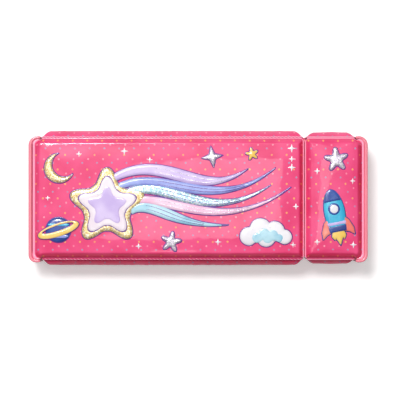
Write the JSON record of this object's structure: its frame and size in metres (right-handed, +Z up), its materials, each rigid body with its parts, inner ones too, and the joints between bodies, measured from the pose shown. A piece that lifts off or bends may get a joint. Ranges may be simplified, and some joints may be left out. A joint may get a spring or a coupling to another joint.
{
  "type": "pencil box",
  "caption": "Hard pencil box lying flat, with a large and a small compartment under separate padded lids, folding magnet flaps and a tilting pencil rack.",
  "frame": {"origin": "centre of the footprint, on the surface the box rests on", "axes": "+X along the length towards the small compartment, +Y towards the hinges, +Z up"},
  "size_m": [0.24, 0.095, 0.04],
  "materials": {
    "padded_vinyl": "gloss",
    "welded_vinyl": "gloss",
    "cap_plastic": "gloss",
    "case_plastic": "satin",
    "stiff_board": "matte",
    "lid_lining": "satin",
    "tray_plastic": "satin",
    "rack_plastic": "satin",
    "sharpener_plastic": "gloss",
    "blade_steel": "satin",
    "pin_steel": "satin",
    "keeper_steel": "satin",
    "magnet": "matte"
  },
  "bodies": {
    "case": {"case_shell": "case_plastic", "keeper_plates": "keeper_steel", "left_end_cap": "cap_plastic", "right_end_cap": "cap_plastic", "base_board": "stiff_board", "base_pad": "padded_vinyl", "main_spine_board": "stiff_board", "main_spine_pad": "padded_vinyl", "main_hinge_seam": "welded_vinyl", "small_spine_board": "stiff_board", "small_spine_pad": "padded_vinyl", "small_hinge_seam": "welded_vinyl", "bay_divider": "tray_plastic", "rack_ears": "case_plastic", "rack_pin": "pin_steel", "small_tray": "tray_plastic", "sharpener_body": "sharpener_plastic", "sharpener_blade": "blade_steel", "sharpener_screw": "pin_steel"},
    "rack": {"pencil_rack": "rack_plastic"},
    "main_lid": {"main_lid_board": "lid_lining", "main_lid_pad": "padded_vinyl", "main_flap_seam": "welded_vinyl"},
    "main_flap": {"main_flap_board": "lid_lining", "main_flap_pad": "padded_vinyl", "main_flap_magnets": "magnet"},
    "small_lid": {"small_lid_board": "lid_lining", "small_lid_pad": "padded_vinyl", "small_flap_seam": "welded_vinyl"},
    "small_flap": {"small_flap_board": "lid_lining", "small_flap_pad": "padded_vinyl", "small_flap_magnet": "magnet"}
  },
  "joints": [
    {"name": "main_lid_hinge", "type": "hinge", "parent": "case", "child": "main_lid", "pos_m": [0, 0.0429, 0.0353], "axis": [-1, 0, 0], "range_deg": [0, 160]},
    {"name": "main_flap_fold", "type": "hinge", "parent": "main_lid", "child": "main_flap", "pos_m": [0, -0.0429, 0.0353], "axis": [-1, 0, 0], "range_deg": [0, 120]},
    {"name": "small_lid_hinge", "type": "hinge", "parent": "case", "child": "small_lid", "pos_m": [0.096, 0.0429, 0.0353], "axis": [-1, 0, 0], "range_deg": [0, 160]},
    {"name": "small_flap_fold", "type": "hinge", "parent": "small_lid", "child": "small_flap", "pos_m": [0.096, -0.0429, 0.0353], "axis": [-1, 0, 0], "range_deg": [0, 120]},
    {"name": "rack_tilt", "type": "hinge", "parent": "case", "child": "rack", "pos_m": [-0.111, 0, 0.0072], "axis": [0, -1, 0], "range_deg": [0, 16]}
  ]
}
